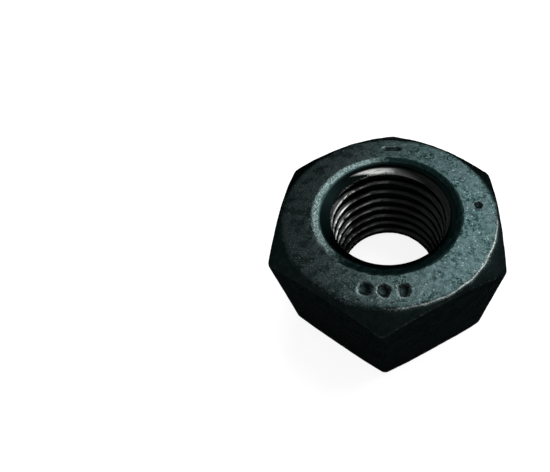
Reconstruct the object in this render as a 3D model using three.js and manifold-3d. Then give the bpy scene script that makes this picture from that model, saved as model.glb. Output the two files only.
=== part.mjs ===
// A heavy hex nut for M30 structural bolts: one piece of forged, tapped and blackened steel.
//
// Millimetres. +Z runs up the thread axis, and the origin is the middle of the bearing face.
// Two flats face +X and -X, and two corners point along +Y and -Y. The marked face is on top.

import * as THREE from "three";
import { mergeVertices } from "three/addons/utils/BufferGeometryUtils.js";
import Module from "manifold-3d";

const { degToRad } = THREE.MathUtils;
const wasm = await Module();
wasm.setup();

// The thread is ISO metric, M30 x 3.5, right hand.
const MAJOR_DIAMETER = 30;
const PITCH = 3.5;
const MINOR_DIAMETER = MAJOR_DIAMETER - (5 / 8) * Math.sqrt(3) * PITCH;
const LOWEST_CREST_ON_X = 2.4;

// The forged hexagon.
const ACROSS_FLATS = 50;
const HEIGHT = 30.6;
const CORNER_RADIUS = 1.8;

// Both faces are turned. The top face is a round land, as its chamfer cuts into every flat.
// The chamfer of the bearing face only takes the points off the corners.
const TOP_LAND_RADIUS = 24.05;
const BEARING_LAND_RADIUS = 26.1;
const CHAMFER_SLOPE = Math.tan(degToRad(29));

// Each mouth of the bore rolls over a lip into a cone that cuts the first turn of the thread.
const LIP_RADIUS_AT_FACE = 16.8;
const LIP_ROLL_RADIUS = 1.8;
const CONE_HALF_ANGLE = degToRad(50);

// Punched marks on the top land: a row of round dots at -Y, a dash at +Y and one dot near +X.
const MARK_CIRCLE_RADIUS = 20.4;
const MARK_DEPTH = 0.5;
const ROW_DOT_RADIUS = 1.3;
const ROW_DOT_STEP = degToRad(10.5);
const SINGLE_DOT_RADIUS = 0.9;
const SINGLE_DOT_ANGLE = degToRad(5);
const DASH_LENGTH = 4.6;
const DASH_WIDTH = 1.3;

// Facets.
const THREAD_STEPS_PER_TURN = 48;
const BODY_FACETS = 96;
const MARK_FACETS = 12;
const ARC_STEPS = 4;

// How far a cutting tool passes the face that it cuts.
const CLEAR = 1;

// Joins the vertices of a closed geometry and makes it a solid for cuts and joins.
function solidFrom(geometry) {
  geometry.deleteAttribute("normal");
  geometry.deleteAttribute("uv");
  const merged = mergeVertices(geometry, 1e-4);
  const mesh = new wasm.Mesh({
    numProp: 3,
    vertProperties: merged.attributes.position.array,
    triVerts: new Uint32Array(merged.index.array),
  });
  return new wasm.Manifold(mesh);
}

function geometryFrom(solid) {
  const mesh = solid.getMesh();
  const geometry = new THREE.BufferGeometry();
  geometry.setAttribute("position", new THREE.BufferAttribute(mesh.vertProperties, 3));
  geometry.setIndex(new THREE.BufferAttribute(mesh.triVerts, 1));
  geometry.computeVertexNormals();
  return geometry;
}

// A solid of revolution about +Z, from its outline of [radius, height] points, lowest first.
function turned(outline, facets) {
  const points = outline.map(([radius, height]) => new THREE.Vector2(radius, height));
  return solidFrom(new THREE.LatheGeometry(points, facets).rotateX(Math.PI / 2));
}

// The hexagon with rounded corners, over the whole height.
function hexagonPrism() {
  const middle = ACROSS_FLATS / 2 - CORNER_RADIUS;
  const shape = new THREE.Shape();
  for (let corner = 0; corner < 6; corner += 1) {
    const angle = Math.PI / 2 + (corner * Math.PI) / 3;
    const distance = middle / Math.cos(Math.PI / 6);
    const x = distance * Math.cos(angle);
    const y = distance * Math.sin(angle);
    shape.absarc(x, y, CORNER_RADIUS, angle - Math.PI / 6, angle + Math.PI / 6, false);
  }
  shape.closePath();
  const options = { depth: HEIGHT, bevelEnabled: false, curveSegments: ARC_STEPS / 2 };
  return solidFrom(new THREE.ExtrudeGeometry(shape, options));
}

// The turned blank whose two chamfers trim the hexagon's corners.
function turnedBlank() {
  const outer = ACROSS_FLATS;
  const outline = [
    [0, 0],
    [BEARING_LAND_RADIUS, 0],
    [outer, (outer - BEARING_LAND_RADIUS) * CHAMFER_SLOPE],
    [outer, HEIGHT - (outer - TOP_LAND_RADIUS) * CHAMFER_SLOPE],
    [TOP_LAND_RADIUS, HEIGHT],
    [0, HEIGHT],
  ];
  return turned(outline, BODY_FACETS);
}

// The countersink of the top face: from the axis, up the cone, round the lip and out of the top.
function countersink() {
  const lipTurn = Math.PI / 2 - CONE_HALF_ANGLE;
  const coneTopRadius = LIP_RADIUS_AT_FACE - LIP_ROLL_RADIUS * Math.sin(lipTurn);
  const coneTopDepth = LIP_ROLL_RADIUS * (1 - Math.cos(lipTurn));
  const tipDepth = coneTopDepth + coneTopRadius / Math.tan(CONE_HALF_ANGLE);
  const outline = [[0, -tipDepth]];
  for (let step = 0; step <= ARC_STEPS; step += 1) {
    const turn = lipTurn * (1 - step / ARC_STEPS);
    const radius = LIP_RADIUS_AT_FACE - LIP_ROLL_RADIUS * Math.sin(turn);
    outline.push([radius, -LIP_ROLL_RADIUS * (1 - Math.cos(turn))]);
  }
  outline.push([LIP_RADIUS_AT_FACE, CLEAR]);
  outline.push([0, CLEAR]);
  return turned(outline, BODY_FACETS);
}

// The tap: one thread profile wound round the axis, past both faces of the nut.
// Its last column is its first column one pitch higher, so the sheet closes on itself.
function tap() {
  const profile = [
    { radius: MAJOR_DIAMETER / 2, rise: 0 },
    { radius: MAJOR_DIAMETER / 2, rise: PITCH / 8 },
    { radius: MINOR_DIAMETER / 2, rise: (PITCH * 7) / 16 },
    { radius: MINOR_DIAMETER / 2, rise: (PITCH * 11) / 16 },
  ];
  const crestMiddle = (PITCH * 9) / 16;
  const pointsPerTurn = profile.length;
  const turns = Math.ceil(HEIGHT / PITCH) + 4;
  const rows = turns * pointsPerTurn;
  const start = LOWEST_CREST_ON_X - crestMiddle - 3 * PITCH;

  const positions = [];
  const columns = [];
  for (let column = 0; column < THREAD_STEPS_PER_TURN; column += 1) {
    const share = column / THREAD_STEPS_PER_TURN;
    const angle = share * 2 * Math.PI;
    const lastRow = column === 0 ? rows + pointsPerTurn : rows;
    columns.push(positions.length / 3);
    for (let row = 0; row <= lastRow; row += 1) {
      const { radius, rise } = profile[row % pointsPerTurn];
      const height = start + (Math.floor(row / pointsPerTurn) + share) * PITCH + rise;
      positions.push(radius * Math.cos(angle), radius * Math.sin(angle), height);
    }
  }
  const vertex = (column, row) =>
    column === THREAD_STEPS_PER_TURN ? columns[0] + row + pointsPerTurn : columns[column] + row;

  const indices = [];
  for (let column = 0; column < THREAD_STEPS_PER_TURN; column += 1) {
    for (let row = 0; row < rows; row += 1) {
      const lowerLeft = vertex(column, row);
      const lowerRight = vertex(column + 1, row);
      const upperRight = vertex(column + 1, row + 1);
      const upperLeft = vertex(column, row + 1);
      indices.push(lowerLeft, lowerRight, upperRight, lowerLeft, upperRight, upperLeft);
    }
  }

  // Each end is a fan from a point on the axis to the end's rim, which steps back one pitch.
  for (const { row, isTop } of [
    { row: 0, isTop: false },
    { row: rows, isTop: true },
  ]) {
    const rim = columns.map((_, column) => vertex(column, row));
    for (let back = pointsPerTurn; back > 0; back -= 1) rim.push(vertex(0, row + back));
    const centre = positions.length / 3;
    positions.push(0, 0, start + (row / pointsPerTurn + 0.5) * PITCH);
    rim.forEach((here, place) => {
      const next = rim[(place + 1) % rim.length];
      indices.push(centre, ...(isTop ? [here, next] : [next, here]));
    });
  }

  const geometry = new THREE.BufferGeometry();
  geometry.setAttribute("position", new THREE.Float32BufferAttribute(positions, 3));
  geometry.setIndex(indices);
  return solidFrom(geometry);
}

// The tool of a round punched dot, in the place of its mark: a shallow dish.
function dotPunch(radius, angle) {
  const outline = [[0, -MARK_DEPTH]];
  for (let step = 1; step <= ARC_STEPS; step += 1) {
    const swing = ((step / ARC_STEPS) * Math.PI) / 2;
    outline.push([radius * Math.sin(swing), -MARK_DEPTH * Math.cos(swing)]);
  }
  outline.push([radius, CLEAR]);
  outline.push([0, CLEAR]);
  const x = MARK_CIRCLE_RADIUS * Math.cos(angle);
  const y = MARK_CIRCLE_RADIUS * Math.sin(angle);
  return turned(outline, MARK_FACETS).translate([x, y, HEIGHT]);
}

// The tool of the dash: a slot with round ends, along X.
function dashPunch(y) {
  const end = DASH_WIDTH / 2;
  const reach = DASH_LENGTH / 2 - end;
  const slot = new THREE.Shape();
  slot.absarc(reach, 0, end, -Math.PI / 2, Math.PI / 2, false);
  slot.absarc(-reach, 0, end, Math.PI / 2, (3 * Math.PI) / 2, false);
  slot.closePath();
  const options = { depth: MARK_DEPTH + CLEAR, bevelEnabled: false, curveSegments: ARC_STEPS };
  const geometry = new THREE.ExtrudeGeometry(slot, options);
  return solidFrom(geometry).translate([0, y, HEIGHT - MARK_DEPTH]);
}

function nutSolid() {
  const topCountersink = countersink();
  const tools = [
    tap(),
    topCountersink.translate([0, 0, HEIGHT]),
    topCountersink.rotate([180, 0, 0]),
    dashPunch(MARK_CIRCLE_RADIUS),
    dotPunch(SINGLE_DOT_RADIUS, SINGLE_DOT_ANGLE),
  ];
  for (const place of [-1, 0, 1]) {
    tools.push(dotPunch(ROW_DOT_RADIUS, -Math.PI / 2 + place * ROW_DOT_STEP));
  }
  const blank = hexagonPrism().intersect(turnedBlank());
  return tools.reduce((body, tool) => body.subtract(tool), blank);
}

const blackenedSteel = new THREE.MeshStandardMaterial({
  color: 0x2a3433,
  roughness: 0.5,
  metalness: 0.6,
});

const nut = new THREE.Mesh(geometryFrom(nutSolid()), blackenedSteel);
nut.name = "hex_nut";

const part = new THREE.Group();
part.add(nut);

export default part;
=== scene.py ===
"""Looks of a blackened M30 heavy hex nut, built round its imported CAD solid.

Everything is in metres in the part's frame: +Z up the thread axis, the bearing face at z = 0, two flats
facing +X and -X, two corners along +Y and -Y. The fine mesh is one grid: its columns stand round the axis
and its rows run round the nut's section. The rows climb one pitch per turn, so in the bore they run along
the thread.
"""

import math
from types import SimpleNamespace

import bpy
import numpy as np
from mathutils import Matrix, Vector, noise


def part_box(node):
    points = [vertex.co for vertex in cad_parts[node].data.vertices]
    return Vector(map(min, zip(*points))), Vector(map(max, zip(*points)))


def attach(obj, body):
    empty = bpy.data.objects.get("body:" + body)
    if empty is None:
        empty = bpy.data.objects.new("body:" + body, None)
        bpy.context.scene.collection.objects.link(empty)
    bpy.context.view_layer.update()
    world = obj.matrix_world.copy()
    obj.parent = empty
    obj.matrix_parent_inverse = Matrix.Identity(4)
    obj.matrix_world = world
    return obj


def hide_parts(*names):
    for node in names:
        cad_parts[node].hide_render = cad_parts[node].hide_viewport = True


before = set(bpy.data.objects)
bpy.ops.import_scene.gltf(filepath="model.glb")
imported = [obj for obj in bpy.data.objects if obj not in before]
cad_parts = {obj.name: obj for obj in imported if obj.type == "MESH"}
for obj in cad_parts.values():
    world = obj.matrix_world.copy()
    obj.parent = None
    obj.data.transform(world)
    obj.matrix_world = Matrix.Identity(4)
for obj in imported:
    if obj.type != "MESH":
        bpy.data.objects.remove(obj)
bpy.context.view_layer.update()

MM = 0.001
CAD_NODE = "hex_nut"
LOW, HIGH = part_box(CAD_NODE)
HEIGHT = HIGH.z - LOW.z
FLAT_DISTANCE = (HIGH.x - LOW.x) / 2
SHARP_CORNER_DISTANCE = FLAT_DISTANCE / math.cos(math.pi / 6)

# The nut, as in the CAD model.
PITCH = 3.5 * MM
MAJOR_RADIUS = 15 * MM
BASIC_MINOR_RADIUS = MAJOR_RADIUS - (5 / 16) * math.sqrt(3) * PITCH
LOWEST_CREST_ON_X = 2.4 * MM
CORNER_RADIUS = 1.8 * MM
TOP_LAND_RADIUS = 24.05 * MM
BEARING_LAND_RADIUS = 26.1 * MM
CHAMFER_ANGLE = math.radians(29)
CONE_HALF_ANGLE = math.radians(50)
MARK_CIRCLE_RADIUS = 20.4 * MM
MARK_DEPTH = 0.5 * MM
ROW_DOT_RADIUS = 1.3 * MM
ROW_DOT_STEP = math.radians(10.5)
SINGLE_DOT_RADIUS = 0.9 * MM
SINGLE_DOT_ANGLE = math.radians(5)
DASH_LENGTH = 4.6 * MM
DASH_WIDTH = 1.3 * MM

# Where the fine mesh departs from the CAD model: its crests stand 0.15 mm further out, and each mouth
# has a bevelled lip and runs off centre, towards -X.
MINOR_RADIUS = BASIC_MINOR_RADIUS + 0.15 * MM
CONE_RADIUS_AT_FACE = 15.75 * MM
CONE_DEPTH_AT_MAJOR = (CONE_RADIUS_AT_FACE - MAJOR_RADIUS) / math.tan(CONE_HALF_ANGLE)
LIP_RADIUS_AT_FACE = 17.05 * MM
LIP_ANGLE = math.radians(11)
MOUTH_SHIFT = 0.33 * MM

# Which way the lip is burnished and carries a painted highlight, and which way the outer edges are worn, as
# angles round the axis.
BURNISHED_AND_HIGHLIGHT_SIDE = math.radians(165)
WORN_RIM_SIDE = math.radians(-45)
WORN_BACK_SIDE = math.radians(80)

# How softly neighbouring surfaces run into each other.
LIP_EDGE_BLEND = 0.08 * MM
LIP_CONE_BLEND = 0.15 * MM
LAND_EDGE_BLEND = 0.3 * MM
CORNER_EDGE_BLEND = 0.4 * MM
BEARING_EDGE_BLEND = 0.35 * MM
CREST_BLEND = 0.1 * MM
ROOT_BLEND = 0.2 * MM
RUNOUT_BLEND = 0.08 * MM

# How deep the metal's unevenness goes.
FORGED_DEPTH = 0.05 * MM
GRAIN_DEPTH = 0.015 * MM
WORN_DEPTH = 0.06 * MM
TORN_DEPTH = 0.12 * MM

# The grid, and a ring well inside the metal that every row is sought from.
COLUMNS = 400
ROWS = 248
ROWS_PER_PITCH = 16
EDGE_MARGIN = 0.35 * MM
CORE_INNER_RADIUS = 19 * MM
CORE_OUTER_RADIUS = 22.5 * MM
BISECTIONS = 30

# Colours, as linear red, green, blue and alpha.
OXIDE_DARK = (0.002, 0.006, 0.006, 1)
OXIDE_LIGHT = (0.029, 0.05, 0.05, 1)
OXIDE_SATIN = (0.034, 0.052, 0.054, 1)
# Dark pits, also used as painted shade inside the punched marks.
OXIDE_PIT_AND_MARK_SHADE = (0.003, 0.006, 0.006, 1)
RUSTY_FLECK = (0.085, 0.09, 0.075, 1)
STAIN = (0.006, 0.012, 0.012, 1)
PALE_SPECK = (0.115, 0.15, 0.15, 1)
# Oxide off the top land, painted darker than the land as painted shade on the chamfers and the bearing
# face.
CHAMFER_SHADE_DARK = (0.011, 0.018, 0.018, 1)
CHAMFER_SHADE_LIGHT = (0.017, 0.026, 0.026, 1)
SIDE_DARK = (0.022, 0.034, 0.034, 1)
SIDE_LIGHT = (0.038, 0.056, 0.055, 1)
SIDE_PATCH = (0.05, 0.07, 0.069, 1)
# Painted shade on the lip round the mouth, away from its lit side.
MOUTH_PAINTED_SHADE = (0.002, 0.005, 0.005, 1)
CONE_DARK = (0.006, 0.013, 0.013, 1)
CONE_LIGHT = (0.011, 0.02, 0.02, 1)
# The lip's lit side: burnish, with a painted highlight over it.
BURNISH_AND_HIGHLIGHT_DARK = (0.014, 0.026, 0.026, 1)
BURNISH_AND_HIGHLIGHT_LIGHT = (0.088, 0.118, 0.117, 1)
# Pale rims round the marks: speckled wear with a painted highlight.
MARK_RIM_WEAR_AND_HIGHLIGHT = (0.08, 0.1, 0.1, 1)
WORN_EDGE = (0.24, 0.26, 0.25, 1)
THREAD_ROOT = (0.006, 0.008, 0.008, 1)
THREAD_DARK = (0.024, 0.026, 0.026, 1)
THREAD_LIGHT = (0.052, 0.055, 0.054, 1)
# Painted shade on the thread's flanks below the crests, on its -X side.
SHADED_DARK = (0.003, 0.004, 0.004, 1)
SHADED_LIGHT = (0.018, 0.019, 0.019, 1)
# Painted highlight near the thread's crests on its -X side, over crest wear.
PAINTED_HIGHLIGHT_DARK = (0.05, 0.052, 0.051, 1)
PAINTED_HIGHLIGHT_LIGHT = (0.24, 0.245, 0.235, 1)
FIRST_TURN_DARK = (0.33, 0.34, 0.33, 1)
FIRST_TURN_LIGHT = (0.6, 0.61, 0.6, 1)
CREST_MIDDLE = (0.012, 0.014, 0.014, 1)
TORN_STEEL = (0.45, 0.45, 0.43, 1)

# How bright the studio is to the camera, and how bright it is to the nut that reflects it.
BACKDROP_TO_CAMERA = 0.98
BACKDROP_TO_NUT_LEVEL = 0.4
BACKDROP_TO_NUT_OVERHEAD = 0.13
FLOOR_GLOW_TO_CAMERA = 0.88
FLOOR_TO_CAMERA = (0.35, 0.35, 0.35, 1)
FLOOR_TO_NUT = (0.2, 0.2, 0.2, 1)
FLOOR_HALF_SIDE = 3.0
PANEL_DISTANCE = 0.6


def smooth_max(a, b, blend):
    """The larger of a and b, rounded over where they come within blend of each other."""
    overlap = np.maximum(blend - np.abs(a - b), 0) / blend
    return np.maximum(a, b) + overlap**2 * blend / 4


def smooth_min(a, b, blend):
    return -smooth_max(-a, -b, blend)


def column_angles():
    """The columns' angles, closer together at the six corners, whose rounding is narrow."""
    crowding, width = 2.2, math.radians(3.5)
    fine = np.linspace(0, 2 * math.pi, 36001)
    to_corner = np.abs(fine % (math.pi / 3) - math.pi / 6)
    density = 1 + crowding * np.exp(-((to_corner / width) ** 2))
    share = np.concatenate([[0], np.cumsum((density[1:] + density[:-1]) / 2)])
    return np.interp(np.arange(COLUMNS) / COLUMNS, share / share[-1], fine)


def outer_radius(angle):
    """The hexagon's radius at each angle, with rounded corners."""
    off_corner = np.abs(angle % (math.pi / 3) - math.pi / 6)
    centre = (FLAT_DISTANCE - CORNER_RADIUS) / math.cos(math.pi / 6)
    flat = FLAT_DISTANCE / np.cos(math.pi / 6 - off_corner)
    side = centre * np.sin(off_corner)
    arc = centre * np.cos(off_corner) + np.sqrt(np.maximum(CORNER_RADIUS**2 - side**2, 0))
    reach = CORNER_RADIUS * math.cos(math.pi / 6)
    arc_ends = math.atan2(CORNER_RADIUS / 2, centre + reach)
    return np.where(off_corner < arc_ends, arc, flat)


def thread_radius(angle, z):
    """The thread's radius: the ISO profile with its corners eased."""
    climb = z - LOWEST_CREST_ON_X - PITCH * angle / (2 * math.pi)
    off_crest = np.abs((climb + PITCH / 2) % PITCH - PITCH / 2)
    flank = BASIC_MINOR_RADIUS + (off_crest - PITCH / 8) * math.sqrt(3)
    crest = smooth_max(flank, np.full_like(flank, MINOR_RADIUS), CREST_BLEND)
    return smooth_min(crest, np.full_like(flank, MAJOR_RADIUS), ROOT_BLEND)


def surfaces(angle, r, z):
    """Signed distances, positive outside the nut, of each surface that bounds it."""
    sine, cosine = math.sin(CHAMFER_ANGLE), math.cos(CHAMFER_ANGLE)
    cone_cosine = math.cos(CONE_HALF_ANGLE)
    cone_slope = math.tan(CONE_HALF_ANGLE)
    lip_sine, lip_cosine = math.sin(LIP_ANGLE), math.cos(LIP_ANGLE)
    ripple = np.sin(7 * angle + 1) + np.sin(16 * angle) + np.sin(29 * angle)
    land_radius = TOP_LAND_RADIUS + 0.05 * MM * ripple
    cone_radius = CONE_RADIUS_AT_FACE - MOUTH_SHIFT * np.cos(angle)
    lip_radius = LIP_RADIUS_AT_FACE - MOUTH_SHIFT * np.cos(angle)
    return {
        "top": z - HEIGHT,
        "top_chamfer": (r - land_radius) * sine + (z - HEIGHT) * cosine,
        "side": r - outer_radius(angle),
        "bearing_chamfer": (r - BEARING_LAND_RADIUS) * sine - z * cosine,
        "bearing": -z,
        "top_cone": (cone_radius - (HEIGHT - z) * cone_slope - r) * cone_cosine,
        "bearing_cone": (cone_radius - z * cone_slope - r) * cone_cosine,
        "top_lip": (lip_radius - r) * lip_sine - (HEIGHT - z) * lip_cosine,
        "bearing_lip": (lip_radius - r) * lip_sine - z * lip_cosine,
        "thread": (thread_radius(angle, z) - r) / 2,
    }


def outside(angle, r, z):
    """Positive outside the nut, with every edge eased."""
    d = surfaces(angle, r, z)
    shell = smooth_max(d["side"], d["bearing_chamfer"], BEARING_EDGE_BLEND)
    shell = smooth_max(shell, d["bearing"], BEARING_EDGE_BLEND)
    cap = smooth_max(d["top"], d["top_chamfer"], LAND_EDGE_BLEND)
    shell = smooth_max(shell, cap, CORNER_EDGE_BLEND)
    bore = d["thread"]
    for cone, lip in (("top_cone", "top_lip"), ("bearing_cone", "bearing_lip")):
        bore = smooth_max(bore, d[cone], RUNOUT_BLEND)
        bore = smooth_max(bore, d[lip], LIP_CONE_BLEND)
    return smooth_max(shell, bore, LIP_EDGE_BLEND)


def section_knots(radius):
    """The section outside the bore with sharp edges, as (rows to the next knot, r, z) at each column."""
    slope = math.tan(CHAMFER_ANGLE)
    top_edge = HEIGHT - (radius - TOP_LAND_RADIUS) * slope
    low_edge = np.maximum(radius - BEARING_LAND_RADIUS, 0) * slope
    near = EDGE_MARGIN
    low_land = np.minimum(BEARING_LAND_RADIUS, radius - near)
    lip_depth = (LIP_RADIUS_AT_FACE - CONE_RADIUS_AT_FACE) * math.tan(LIP_ANGLE)
    knots = [
        (3, MAJOR_RADIUS, HEIGHT - CONE_DEPTH_AT_MAJOR),
        (9, CONE_RADIUS_AT_FACE, HEIGHT - lip_depth),
        (27, LIP_RADIUS_AT_FACE, HEIGHT),
        (4, TOP_LAND_RADIUS - near, HEIGHT),
        (3, TOP_LAND_RADIUS + near, HEIGHT - near * slope),
        (5, radius - 2 * near, top_edge + 2 * near * slope),
        (5, radius, top_edge),
        (24, radius, top_edge - 2 * near),
        (4, radius, low_edge + 2 * near),
        (4, radius, low_edge),
        (4, low_land, 0),
        (10, low_land - 2 * near, 0),
        (7, LIP_RADIUS_AT_FACE, 0),
        (3, CONE_RADIUS_AT_FACE, lip_depth),
        (0, MAJOR_RADIUS, CONE_DEPTH_AT_MAJOR),
    ]
    ones = np.ones_like(radius)
    return [(rows, r * ones, z * ones) for rows, r, z in knots]


def crowd_to_crests(row):
    """Moves the rows of the bore closer to the crests' edges, which are the thread's sharpest."""
    half = ROWS_PER_PITCH / 2
    off_crest = (row + half) % ROWS_PER_PITCH - half
    crowded = np.interp(np.abs(off_crest), (0, 1, 3, half), (0, 1.9, 2.9, half))
    return np.sign(off_crest) * (crowded - np.abs(off_crest))


def grid_targets(angles):
    """Where each column's rows aim, as arrays of r and z: up the bore, then out, down and in again."""
    row_step = PITCH / ROWS_PER_PITCH
    bore_start = (CONE_DEPTH_AT_MAJOR - LOWEST_CREST_ON_X) / row_step
    bore_end = (HEIGHT - CONE_DEPTH_AT_MAJOR - LOWEST_CREST_ON_X) / row_step
    knots = section_knots(outer_radius(angles))
    steps = np.array([rows for rows, _, _ in knots[:-1]], float)
    places = np.concatenate([[0], np.cumsum(steps)]) / steps.sum()
    places = bore_end + places * (ROWS - (bore_end - bore_start))

    climb = ROWS_PER_PITCH * angles / (2 * math.pi)
    along = np.arange(ROWS)[None, :] + climb[:, None]
    along = (along - bore_start) % ROWS + bore_start
    r, z = np.empty_like(along), np.empty_like(along)
    for column in range(len(angles)):
        here = along[column]
        r[column] = np.interp(here, places, [k[1][column] for k in knots])
        z[column] = np.interp(here, places, [k[2][column] for k in knots])
    in_bore = along < bore_end
    from_end = np.minimum(along - bore_start, bore_end - along)
    crowded = along + crowd_to_crests(along - climb[:, None]) * np.clip(from_end / ROWS_PER_PITCH, 0, 1)
    z = np.where(in_bore, LOWEST_CREST_ON_X + crowded * row_step, z)
    r = np.where(in_bore, MINOR_RADIUS, r)
    return r, z


def grid_points(angles):
    """Angle, r and z of every grid point, by bisection from inside the metal to just past its target."""
    target_r, target_z = grid_targets(angles)
    angle = np.broadcast_to(angles[:, None], target_r.shape)
    start_r = np.clip(target_r, CORE_INNER_RADIUS, CORE_OUTER_RADIUS)
    start_z = np.clip(target_z, CONE_DEPTH_AT_MAJOR, HEIGHT - CONE_DEPTH_AT_MAJOR)
    inside = np.zeros_like(target_r)
    beyond = np.full_like(target_r, 1.2)
    for _ in range(BISECTIONS):
        middle = (inside + beyond) / 2
        r = start_r + middle * (target_r - start_r)
        z = start_z + middle * (target_z - start_z)
        is_out = outside(angle, r, z) > 0
        beyond = np.where(is_out, middle, beyond)
        inside = np.where(is_out, inside, middle)
    return angle, start_r + inside * (target_r - start_r), start_z + inside * (target_z - start_z)


def grid_neighbours(points):
    """The last and next point across the columns, then across the rows. The seam climbs one pitch."""
    after_last = np.roll(points[0], -ROWS_PER_PITCH, axis=0)
    before_first = np.roll(points[-1], ROWS_PER_PITCH, axis=0)
    next_column = np.concatenate([points[1:], after_last[None]])
    last_column = np.concatenate([before_first[None], points[:-1]])
    return last_column, next_column, np.roll(points, 1, axis=1), np.roll(points, -1, axis=1)


def grid_normals(points):
    last_column, next_column, row_below, row_above = grid_neighbours(points)
    normals = np.cross(row_above - row_below, next_column - last_column)
    return normals / np.maximum(np.linalg.norm(normals, axis=2, keepdims=True), 1e-12)


def rough_noise(points, size, octaves):
    """Perlin noise of that feature size at each point, roughly from -1 to 1."""
    flat = points.reshape(-1, 3) / size
    values = [noise.fractal(Vector(p), 1.0, 2.0, octaves) for p in flat]
    return np.array(values).reshape(points.shape[:2])


def mark_places():
    """Angles and radii of the punched dots: a row of three at -Y, one near +X."""
    row = [(-math.pi / 2 + place * ROW_DOT_STEP, ROW_DOT_RADIUS) for place in (-1, 0, 1)]
    return row + [(SINGLE_DOT_ANGLE, SINGLE_DOT_RADIUS)]


def dish(distance):
    """The depth of a round-bottomed mark, 1 in its middle and 0 from its edge, at a distance of 1."""
    return np.sqrt(np.clip(1 - distance**2, 0, 1))


def mark_depth(points, unevenness):
    """How deep the punched marks are, and how near their edges are, as shares from 0 to 1."""
    x, y, z = (points[..., axis] for axis in range(3))
    depth = np.zeros(points.shape[:2])
    rim = np.zeros(points.shape[:2])
    for angle, radius in mark_places():
        mark_x = MARK_CIRCLE_RADIUS * math.cos(angle)
        mark_y = MARK_CIRCLE_RADIUS * math.sin(angle)
        distance = np.hypot(x - mark_x, y - mark_y) / radius + unevenness
        depth = np.maximum(depth, dish(distance))
        rim = np.maximum(rim, np.exp(-(((distance - 1.05) / 0.22) ** 2)))
    half_width = DASH_WIDTH / 2
    past_middle = np.maximum(np.abs(x) - (DASH_LENGTH / 2 - half_width), 0)
    distance = np.hypot(past_middle, y - MARK_CIRCLE_RADIUS) / half_width + unevenness
    depth = np.maximum(depth, dish(distance))
    rim = np.maximum(rim, np.exp(-(((distance - 1.1) / 0.35) ** 2)))
    on_top = np.abs(z - HEIGHT) < 1.5 * MM
    return depth * on_top, rim * on_top


def closeness(a, b, width):
    """1 where two surfaces meet, falling to 0 at width from there."""
    return np.clip(1 - np.abs(a - b) / width, 0, 1)


def nearness(distance, width):
    """1 on a surface, falling to 0 at width under it."""
    return np.clip(1 + distance / width, 0, 1)


def facing(angle, side, spread):
    """1 on the side of the nut that faces that way, falling to 0 on the other side."""
    return np.clip(spread + np.cos(angle - side), 0, 1)


def worn_edges(angle, d):
    """1 on the worn stretches of the land's rim and of the hexagon's edges, falling to 0 beside them."""
    cap = np.maximum(d["top"], d["top_chamfer"])
    foot = np.maximum(d["bearing"], d["bearing_chamfer"])
    front = facing(angle, WORN_RIM_SIDE, 0.1)
    back = facing(angle, WORN_BACK_SIDE, 0.0)
    land_rim = closeness(d["top"], d["top_chamfer"], 0.35 * MM) * (cap > -0.3 * MM)
    hexagon = (
        closeness(d["side"], cap, 0.6 * MM) * (np.maximum(cap, d["side"]) > -0.3 * MM),
        closeness(d["side"], foot, 0.6 * MM) * (d["side"] > -0.3 * MM),
        closeness(outer_radius(angle), SHARP_CORNER_DISTANCE, 0.6 * MM) * (d["side"] > -0.1 * MM),
    )
    return np.maximum(land_rim * front, np.maximum.reduce(hexagon) * np.maximum(0.6 * front, back))


def feature_masks(points, angle, r, z, rough):
    """What each point belongs to, as shares from 0 to 1, under the names that the material reads."""
    d = surfaces(angle, r, z)
    cones = np.maximum(d["top_cone"], d["bearing_cone"])
    thread = nearness(d["thread"], 0.1 * MM) * (r < MAJOR_RADIUS + 0.1 * MM)
    crest = np.clip((MAJOR_RADIUS - r) / (MAJOR_RADIUS - MINOR_RADIUS), 0, 1) * thread
    burr = closeness(cones, d["thread"], 0.16 * MM) * (np.maximum(cones, d["thread"]) > -0.12 * MM)
    burr *= (r < MINOR_RADIUS + 0.35 * MM) * (z > HEIGHT / 2)

    from_mouth_axis = r + MOUTH_SHIFT * np.cos(angle) - 0.25 * MM * rough.grain
    mouth = (1 - thread) * nearness(LIP_RADIUS_AT_FACE - from_mouth_axis, 0.15 * MM)
    above_cone = 1 - np.clip((CONE_RADIUS_AT_FACE - from_mouth_axis) / (0.25 * MM), 0, 1)
    # The lip is burnished, with a painted highlight, only on its side towards -X.
    burnished = np.clip((np.cos(angle - BURNISHED_AND_HIGHLIGHT_SIDE) - 0.3 + 0.12 * rough.torn) / 0.3, 0, 1)
    mark, rim = mark_depth(points, 0.2 * rough.grain)
    return {
        "thread": thread,
        "crest": crest,
        "first_turn": nearness(cones, 1.4 * MM) * thread,
        "burr": burr,
        "mouth": mouth,
        "cone": mouth * (1 - above_cone),
        "lip": mouth * above_cone * burnished,
        "edge": worn_edges(angle, d),
        "mark": mark,
        "rim": rim,
        "land": nearness(d["top"], 0.15 * MM),
        "side": nearness(d["side"], 0.3 * MM),
    }


def sunk_depth(masks, rough):
    """How deep each point is sunk into the eased surface by forging, grain, wear, tears and marks."""
    sunk = FORGED_DEPTH * (1 + rough.forged) * masks["side"]
    sunk += GRAIN_DEPTH * (1 + rough.grain) * (1 - masks["thread"]) * (1 - masks["cone"])
    sunk += WORN_DEPTH * masks["edge"] * (1 + rough.grain)
    sunk += TORN_DEPTH * np.clip(rough.torn + 0.1, 0, 1) * masks["crest"] ** 6
    sunk += MARK_DEPTH * masks["mark"]
    return np.maximum(sunk, 0)


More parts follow.
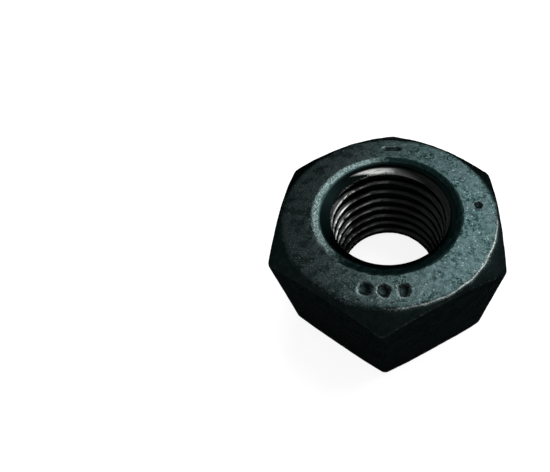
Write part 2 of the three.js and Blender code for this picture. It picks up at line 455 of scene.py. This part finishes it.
def grid_mesh(name, points):
    """A closed mesh of quads over the grid, whose last column meets the first one pitch higher."""
    index = np.arange(COLUMNS * ROWS).reshape(COLUMNS, ROWS)
    next_column = np.concatenate([index[1:], np.roll(index[:1], -ROWS_PER_PITCH, axis=1)])
    next_row = np.roll(index, -1, axis=1)
    across = np.roll(next_column, -1, axis=1)
    quads = np.stack([index, next_row, across, next_column], axis=2).reshape(-1, 4)
    mesh = bpy.data.meshes.new(name)
    mesh.from_pydata(points.reshape(-1, 3).tolist(), [], quads.tolist())
    return mesh


def nut_mesh():
    angle, r, z = grid_points(column_angles())
    points = np.stack([r * np.cos(angle), r * np.sin(angle), z], axis=2)
    rough = SimpleNamespace(
        forged=rough_noise(points, 9 * MM, 2),
        grain=rough_noise(points + 1, 1.3 * MM, 3),
        torn=rough_noise(points + 2, 1.1 * MM, 3),
    )
    masks = feature_masks(points, angle, r, z, rough)
    points = points - grid_normals(points) * sunk_depth(masks, rough)[..., None]
    points[..., 2] = np.clip(points[..., 2], 0, HEIGHT)

    # The thread carries a painted highlight near its crests on its -X side, over crest wear, and painted
    # shade lower on its flanks there; the land is more weathered there.
    x = points[..., 0]
    masks["painted_light_side"] = np.clip((-x - 5.0 * MM) / (1.5 * MM), 0, 1) * masks["thread"]
    masks["weathered"] = np.clip(0.5 - x / (24 * MM), 0, 1)
    mesh = grid_mesh("forged_nut", points)
    for name, values in masks.items():
        layer = mesh.attributes.new(name, "FLOAT", "POINT")
        layer.data.foreach_set("value", values.astype(np.float32).ravel())
    mesh.shade_smooth()
    return mesh


class Nodes:
    """A short way to write a material's nodes."""

    def __init__(self, name):
        self.material = bpy.data.materials.new(name)
        self.material.use_nodes = True
        self.tree = self.material.node_tree
        self.shader = self.tree.nodes["Principled BSDF"]
        self.coordinates = self.tree.nodes.new("ShaderNodeTexCoord").outputs["Object"]

    def set(self, socket, value):
        if isinstance(value, bpy.types.NodeSocket):
            self.tree.links.new(value, socket)
        else:
            socket.default_value = value

    def math(self, operation, a, b):
        node = self.tree.nodes.new("ShaderNodeMath")
        node.operation = operation
        self.set(node.inputs[0], a)
        self.set(node.inputs[1], b)
        return node.outputs[0]

    def attribute(self, name):
        node = self.tree.nodes.new("ShaderNodeAttribute")
        node.attribute_name = name
        return node.outputs["Fac"]

    def multiply(self, a, b):
        return self.math("MULTIPLY", a, b)

    def noise(self, size, detail=3.0, roughness=0.55, vector=None):
        """Noise of that feature size, in metres, from about 0.3 to 0.7."""
        node = self.tree.nodes.new("ShaderNodeTexNoise")
        self.set(node.inputs["Vector"], vector or self.coordinates)
        node.inputs["Scale"].default_value = 1 / size
        node.inputs["Detail"].default_value = detail
        node.inputs["Roughness"].default_value = roughness
        return node.outputs["Fac"]

    def stretched(self, scale):
        """The object's coordinates, scaled along each axis."""
        node = self.tree.nodes.new("ShaderNodeVectorMath")
        node.operation = "MULTIPLY"
        self.set(node.inputs[0], self.coordinates)
        node.inputs[1].default_value = scale
        return node.outputs["Vector"]

    def band(self, value, low, high, out_low=0.0, out_high=1.0):
        """A soft step from out_low to out_high as the value goes from low to high."""
        node = self.tree.nodes.new("ShaderNodeMapRange")
        node.interpolation_type = "SMOOTHSTEP"
        for socket, amount in zip(node.inputs, (value, low, high, out_low, out_high)):
            self.set(socket, amount)
        return node.outputs[0]

    def mix(self, amount, a, b):
        """A colour between a and b."""
        node = self.tree.nodes.new("ShaderNodeMix")
        node.data_type = "RGBA"
        self.set(node.inputs["Factor"], amount)
        self.set(node.inputs[6], a)
        self.set(node.inputs[7], b)
        return node.outputs[2]

    def blend(self, amount, a, b):
        """A number between a and b."""
        node = self.tree.nodes.new("ShaderNodeMix")
        self.set(node.inputs["Factor"], amount)
        self.set(node.inputs[2], a)
        self.set(node.inputs[3], b)
        return node.outputs[0]

    def dots(self, size, share, radius, unevenness):
        """Round dots in a random share of cells of that size: 1 inside a dot, 0 outside."""
        node = self.tree.nodes.new("ShaderNodeTexVoronoi")
        self.set(node.inputs["Vector"], self.coordinates)
        node.inputs["Scale"].default_value = 1 / size
        distance = self.math("ADD", node.outputs["Distance"], unevenness)
        chosen = self.math("LESS_THAN", node.outputs["Color"], share)
        return self.multiply(self.band(distance, radius, 0.6 * radius), chosen)

    def bump(self, height, depth, after=None):
        node = self.tree.nodes.new("ShaderNodeBump")
        node.inputs["Strength"].default_value = 1.0
        node.inputs["Distance"].default_value = depth
        self.set(node.inputs["Height"], height)
        if after:
            self.set(node.inputs["Normal"], after)
        return node.outputs["Normal"]


def steel_patterns(n):
    """The patterns that the colour, the roughness and the relief share, from the coarsest to the finest."""
    patterns = SimpleNamespace(
        clouds=n.noise(5 * MM, detail=4.0),
        patches=n.noise(2.6 * MM, detail=4.0, roughness=0.6),
        mottle=n.noise(0.9 * MM, detail=6.0, roughness=0.7),
        grain=n.noise(0.3 * MM, detail=3.0, roughness=0.7),
        pepper=n.noise(0.3 * MM, detail=3.0, roughness=0.6),
        streaks=n.noise(0.4 * MM, detail=4.0, vector=n.stretched((0.1, 0.1, 1.6))),
    )
    uneven = n.math("SUBTRACT", patterns.grain, 0.5)
    speckled = n.multiply(n.band(patterns.clouds, 0.56, 0.46), n.attribute("land"))
    patterns.blotches = n.blend(0.45, patterns.mottle, patterns.grain)
    patterns.pale_specks = n.multiply(n.dots(0.55 * MM, 0.3, 0.36, uneven), speckled)
    patterns.pits = n.multiply(n.dots(0.7 * MM, 0.16, 0.45, uneven), speckled)
    return patterns


def land_oxide(n, p):
    """The oxide of the marked land: mottled, with satin patches, flecks, stains, pale specks and pits."""
    land, weathered = n.attribute("land"), n.attribute("weathered")
    oxide = n.mix(n.band(p.blotches, 0.42, 0.58), OXIDE_DARK, OXIDE_LIGHT)
    satin = n.multiply(n.band(p.patches, 0.4, 0.56), land)
    oxide = n.mix(n.multiply(satin, 0.5), oxide, OXIDE_SATIN)
    flecks = n.multiply(n.band(p.pepper, 0.55, 0.64), weathered)
    oxide = n.mix(n.multiply(flecks, land), oxide, RUSTY_FLECK)
    stains = n.multiply(n.band(p.patches, 0.5, 0.42), weathered)
    oxide = n.mix(n.multiply(stains, 0.5), oxide, STAIN)
    oxide = n.mix(n.multiply(p.pale_specks, 0.6), oxide, PALE_SPECK)
    return n.mix(n.multiply(p.pits, 0.9), oxide, OXIDE_PIT_AND_MARK_SHADE)


def oxide_colour(n, p):
    """The oxide everywhere outside the thread, with the marks and the worn edges, painted shade off the top
    land, on the lip round the mouth and in the marks, and painted highlights on the lip towards -X and
    round the marks' rims.
    """
    # Painted shade: the oxide off the top land is darker than on it.
    shaded_chamfers = n.mix(n.band(p.clouds, 0.35, 0.65), CHAMFER_SHADE_DARK, CHAMFER_SHADE_LIGHT)
    off_land = n.math("SUBTRACT", 1.0, n.attribute("land"))
    oxide = n.mix(n.multiply(off_land, 0.7), land_oxide(n, p), shaded_chamfers)
    sides = n.mix(n.band(p.blotches, 0.4, 0.6), SIDE_DARK, SIDE_LIGHT)
    sides = n.mix(n.band(p.patches, 0.42, 0.6, 0.0, 0.6), sides, SIDE_PATCH)
    oxide = n.mix(n.attribute("side"), oxide, sides)

    # Painted shade on the lip round the mouth; the cone and the lip's highlighted side are painted over it.
    oxide = n.mix(n.attribute("mouth"), oxide, MOUTH_PAINTED_SHADE)
    oxide = n.mix(n.attribute("cone"), oxide, n.mix(p.mottle, CONE_DARK, CONE_LIGHT))
    burnish_and_highlight = n.mix(n.band(p.grain, 0.42, 0.6), BURNISH_AND_HIGHLIGHT_DARK, BURNISH_AND_HIGHLIGHT_LIGHT)
    oxide = n.mix(n.attribute("lip"), oxide, burnish_and_highlight)
    # Painted shade inside the punched marks, and round their rims a painted highlight over speckled wear.
    oxide = n.mix(n.band(n.attribute("mark"), 0.1, 0.6, 0.0, 0.9), oxide, OXIDE_PIT_AND_MARK_SHADE)
    oxide = n.mix(n.multiply(n.attribute("rim"), n.band(p.pepper, 0.42, 0.6)), oxide, MARK_RIM_WEAR_AND_HIGHLIGHT)

    edge = n.attribute("edge")
    chips = n.multiply(n.band(edge, 0.2, 0.55), n.band(p.pepper, 0.56, 0.66))
    chips = n.multiply(chips, n.band(p.patches, 0.42, 0.55))
    wear = n.math("MAXIMUM", n.band(edge, 0.66, 0.95), chips)
    wear = n.multiply(wear, n.band(p.grain, 0.35, 0.6, 0.1, 0.9))
    return n.mix(wear, oxide, WORN_EDGE)


def thread_colour(n, p):
    """Tapped steel: dark in the roots, streaked, bright on its first turn, and on its -X side a painted
    highlight near the crests, over crest wear, with painted shade lower on the flanks.
    """
    crest = n.attribute("crest")
    dull = n.mix(n.band(p.streaks, 0.3, 0.7), THREAD_DARK, THREAD_LIGHT)
    shaded = n.mix(n.band(p.streaks, 0.3, 0.7), SHADED_DARK, SHADED_LIGHT)
    bright = n.mix(n.band(p.streaks, 0.35, 0.65), PAINTED_HIGHLIGHT_DARK, PAINTED_HIGHLIGHT_LIGHT)
    # On the -X side: painted shade on the flanks, and a painted highlight near the crests.
    steel = n.mix(n.attribute("painted_light_side"), dull, n.mix(n.band(crest, 0.66, 0.86), shaded, bright))
    fresh = n.mix(n.band(p.streaks, 0.3, 0.6), FIRST_TURN_DARK, FIRST_TURN_LIGHT)
    steel = n.mix(n.band(n.attribute("first_turn"), 0.5, 0.97), steel, fresh)
    steel = n.mix(n.band(crest, 0.05, 0.25), THREAD_ROOT, steel)
    return n.mix(n.band(crest, 0.93, 1.0, 0.0, 0.7), steel, CREST_MIDDLE)


def steel_roughness(n, p, torn_edge):
    roughness = n.band(p.mottle, 0.3, 0.7, 0.38, 0.27)
    roughness = n.blend(n.attribute("side"), roughness, 0.45)
    roughness = n.blend(n.attribute("mouth"), roughness, 0.22)
    roughness = n.blend(n.attribute("thread"), roughness, n.band(p.streaks, 0.3, 0.7, 0.26, 0.16))
    return n.blend(torn_edge, roughness, 0.55)


def steel_relief(n, p):
    """Fine bump: forged scale and pits outside the bore and on the lip's burnished side, which also carries
    a painted highlight, streaks on the thread.
    """
    thread = n.attribute("thread")
    turned = n.math("SUBTRACT", n.attribute("mouth"), n.attribute("lip"))
    scaly = n.math("SUBTRACT", 1.0, n.math("MAXIMUM", turned, thread))
    relief = n.bump(n.multiply(p.mottle, scaly), 0.04 * MM)
    relief = n.bump(n.multiply(p.grain, scaly), 0.02 * MM, after=relief)
    relief = n.bump(p.pits, -0.05 * MM, after=relief)
    return n.bump(n.multiply(p.streaks, thread), 0.012 * MM, after=relief)


def blackened_steel():
    """Black oxide over forged and turned steel, worn at its edges, with a brighter tapped thread, and
    painted highlights and painted shade on the thread, the lip, the chamfers and the marks.
    """
    n = Nodes("blackened_steel")
    p = steel_patterns(n)
    torn_edge = n.multiply(n.attribute("burr"), n.band(p.grain, 0.4, 0.6))
    colour = n.mix(n.attribute("thread"), oxide_colour(n, p), thread_colour(n, p))
    colour = n.mix(n.band(torn_edge, 0.2, 0.6), colour, TORN_STEEL)
    n.set(n.shader.inputs["Base Color"], colour)
    n.set(n.shader.inputs["Roughness"], steel_roughness(n, p, torn_edge))
    n.set(n.shader.inputs["Normal"], steel_relief(n, p))
    n.shader.inputs["Metallic"].default_value = 1.0
    n.shader.inputs["Specular Tint"].default_value = (0.18, 0.18, 0.18, 1)
    return n.material


def add_nut():
    nut = bpy.data.objects.new("forged_nut", nut_mesh())
    bpy.context.scene.collection.objects.link(nut)
    nut.data.materials.append(blackened_steel())
    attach(nut, "root")
    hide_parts(CAD_NODE)


def floor_material():
    """A floor that glows white for the camera, and is plain grey in the nut's reflections."""
    n = Nodes("pale_floor")
    n.shader.inputs["Base Color"].default_value = FLOOR_TO_CAMERA
    n.shader.inputs["Roughness"].default_value = 0.9
    n.shader.inputs["Specular IOR Level"].default_value = 0.0
    n.shader.inputs["Emission Color"].default_value = (1, 1, 1, 1)
    n.shader.inputs["Emission Strength"].default_value = FLOOR_GLOW_TO_CAMERA
    dim = n.tree.nodes.new("ShaderNodeBsdfDiffuse")
    dim.inputs["Color"].default_value = FLOOR_TO_NUT
    rays = n.tree.nodes.new("ShaderNodeLightPath")
    either = n.tree.nodes.new("ShaderNodeMixShader")
    n.set(either.inputs[0], rays.outputs["Is Camera Ray"])
    n.set(either.inputs[1], dim.outputs[0])
    n.set(either.inputs[2], n.shader.outputs[0])
    n.set(n.tree.nodes["Material Output"].inputs["Surface"], either.outputs[0])
    return n.material


def add_floor():
    half = FLOOR_HALF_SIDE
    mesh = bpy.data.meshes.new("floor")
    corners = [(-half, -half, 0), (half, -half, 0), (half, half, 0), (-half, half, 0)]
    mesh.from_pydata(corners, [], [(0, 1, 2, 3)])
    floor = bpy.data.objects.new("floor", mesh)
    bpy.context.scene.collection.objects.link(floor)
    mesh.materials.append(floor_material())


def direction(azimuth, elevation):
    """A unit vector: azimuth 0 is +Y and turns towards +X, in degrees."""
    turn = math.radians(azimuth)
    rise = math.radians(elevation)
    return Vector((math.sin(turn) * math.cos(rise), math.cos(turn) * math.cos(rise), math.sin(rise)))


def add_panel(name, azimuth, elevation, size, radiance):
    """An elliptical soft light that faces the nut."""
    light = bpy.data.lights.new(name, "AREA")
    light.shape = "ELLIPSE"
    light.size, light.size_y = size
    light.energy = radiance * math.pi**2 * size[0] * size[1] / 4
    panel = bpy.data.objects.new(name, light)
    towards = direction(azimuth, elevation)
    centre = Vector((0, 0, HEIGHT / 2))
    turn = (-towards).to_track_quat("-Z", "Y").to_matrix().to_4x4()
    panel.matrix_world = Matrix.Translation(centre + towards * PANEL_DISTANCE) @ turn
    bpy.context.scene.collection.objects.link(panel)


def add_world():
    """White all round for the camera, and grey for the nut's reflections, darkest overhead."""
    world = bpy.data.worlds.new("studio")
    world.use_nodes = True
    nodes, links = world.node_tree.nodes, world.node_tree.links
    rays = nodes.new("ShaderNodeLightPath")
    towards = nodes.new("ShaderNodeTexCoord")
    split = nodes.new("ShaderNodeSeparateXYZ")
    links.new(towards.outputs["Generated"], split.inputs[0])
    height = nodes.new("ShaderNodeMapRange")
    links.new(split.outputs["Z"], height.inputs["Value"])
    height.inputs["To Min"].default_value = BACKDROP_TO_NUT_LEVEL
    height.inputs["To Max"].default_value = BACKDROP_TO_NUT_OVERHEAD
    strength = nodes.new("ShaderNodeMix")
    links.new(rays.outputs["Is Camera Ray"], strength.inputs["Factor"])
    links.new(height.outputs[0], strength.inputs[2])
    strength.inputs[3].default_value = BACKDROP_TO_CAMERA
    links.new(strength.outputs[0], nodes["Background"].inputs["Strength"])
    nodes["Background"].inputs["Color"].default_value = (1, 1, 1, 1)
    bpy.context.scene.world = world


def add_camera():
    """The photograph's view: close above the nut, so with strong perspective, and framed off centre."""
    camera = bpy.data.cameras.new("camera")
    camera.sensor_width = 36
    camera.lens = 21.7
    camera.shift_x = -0.2
    camera.clip_start = 0.005
    eye = Vector((2.67, -48.21, 88.05)) * MM
    aim = Vector((-1.22, 3.18, 15.3)) * MM
    turn = (aim - eye).to_track_quat("-Z", "Y").to_matrix().to_4x4()
    roll = Matrix.Rotation(math.radians(-1.88), 4, "Z")
    view = bpy.data.objects.new("camera", camera)
    view.matrix_world = Matrix.Translation(eye) @ turn @ roll
    bpy.context.scene.collection.objects.link(view)
    bpy.context.scene.camera = view


add_camera()
add_floor()
add_world()
add_panel("back_right_panel", azimuth=37, elevation=53.5, size=(0.58, 0.53), radiance=5.5)
add_panel("overhead_panel", azimuth=115, elevation=74, size=(0.32, 0.32), radiance=0.95)
add_nut()
bpy.context.scene.view_settings.view_transform = "Standard"
